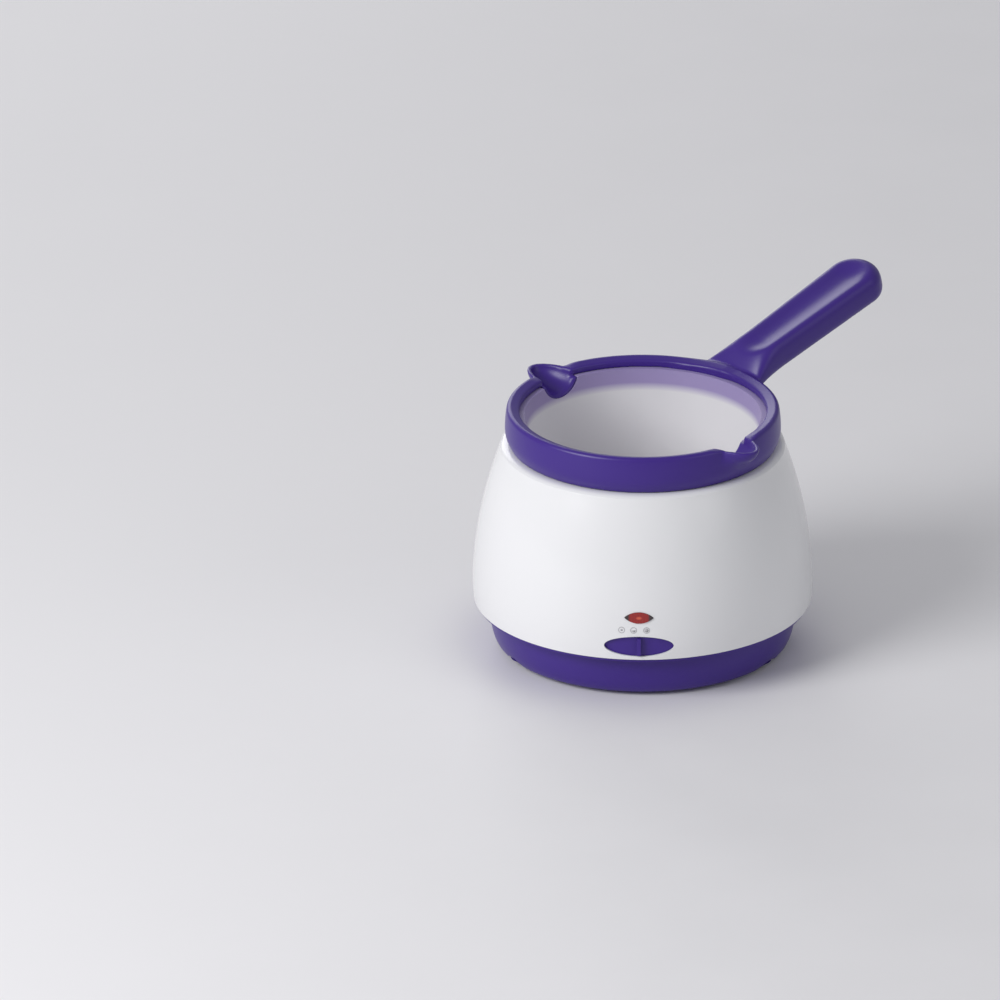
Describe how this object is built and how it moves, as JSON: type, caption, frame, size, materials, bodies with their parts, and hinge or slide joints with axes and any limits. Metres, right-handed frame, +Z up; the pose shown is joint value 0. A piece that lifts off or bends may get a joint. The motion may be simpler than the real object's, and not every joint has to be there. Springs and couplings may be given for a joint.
{
  "type": "electric melting pot",
  "caption": "Electric chocolate melting pot: domed white base with heated well, heat selector and lamp, and a lift-out silicone-lined pot with long handle and pouring lips.",
  "frame": {"origin": "on the pot's axis, on the flat underside of the base pan; the rubber feet reach 2 mm below it", "axes": "+Z up along the pot's axis, -Y out of the front with the selector, +X to the right seen from the front"},
  "size_m": [0.197, 0.2014, 0.1551],
  "materials": {
    "white_housing": "glossy moulded plastic, cool white",
    "purple_plastic": "satin moulded plastic, deep purple",
    "white_silicone": "matt translucent white silicone",
    "foot_rubber": "matt black rubber",
    "screw_steel": "zinc-plated steel",
    "plate_steel": "pressed bright steel",
    "well_aluminium": "spun aluminium, satin",
    "mica_board": "pressed mica board",
    "fibre_pad": "ceramic fibre board",
    "brown_phenolic": "brown phenolic moulding",
    "cream_ceramic": "cream steatite",
    "black_plastic": "black moulded plastic",
    "grey_plastic": "natural grey moulded plastic",
    "red_lens": "clear red lens plastic",
    "lamp_glass": "clear glass neon lamp",
    "lead_black": "silicone-insulated lead, black",
    "lead_white": "glass-sleeved lead, white",
    "lead_red": "silicone-insulated lead, red"
  },
  "bodies": {
    "base": {"outer_housing": "white_housing", "base_pan": "purple_plastic", "rubber_feet": "foot_rubber", "housing_screws": "screw_steel", "heating_well": "well_aluminium", "heating_element": "mica_board", "insulation_pad": "fibre_pad", "heater_clamp": "plate_steel", "clamp_nuts": "screw_steel", "clamp_screws": "screw_steel", "melt_thermostat": "brown_phenolic", "warm_thermostat": "brown_phenolic", "thermal_fuse": "plate_steel", "fuse_clip": "plate_steel", "terminal_block": "cream_ceramic", "cord_gland": "black_plastic", "switch_bracket": "grey_plastic", "switch_body": "black_plastic", "bracket_screws": "screw_steel", "indicator_lens": "red_lens", "lens_retainer": "plate_steel", "neon_lamp": "lamp_glass", "mains_lead": "lead_black", "heater_lead": "lead_white", "fuse_lead": "lead_white", "lamp_leads": "lead_red"},
    "selector": {"selector_slider": "purple_plastic"},
    "toggle": {"switch_toggle": "black_plastic"},
    "pot": {"pot_collar": "purple_plastic", "silicone_liner": "white_silicone"}
  },
  "joints": [
    {"name": "pot_lift", "type": "slide", "parent": "base", "child": "pot", "axis": [0, 0, 1], "range_m": [0, 0.08]},
    {"name": "selector_swing", "type": "hinge", "parent": "base", "child": "selector", "pos_m": [0, 0, 0.029], "axis": [0, 0, 1], "range_deg": [-4.4, 4.4]},
    {"name": "toggle_travel", "type": "slide", "parent": "base", "child": "toggle", "axis": [1, 0, 0], "range_m": [-0.0056, 0.0056]}
  ],
  "couplings": [
    {"joint": "toggle_travel", "follows": "selector_swing", "m_per_rad": 0.0719}
  ]
}
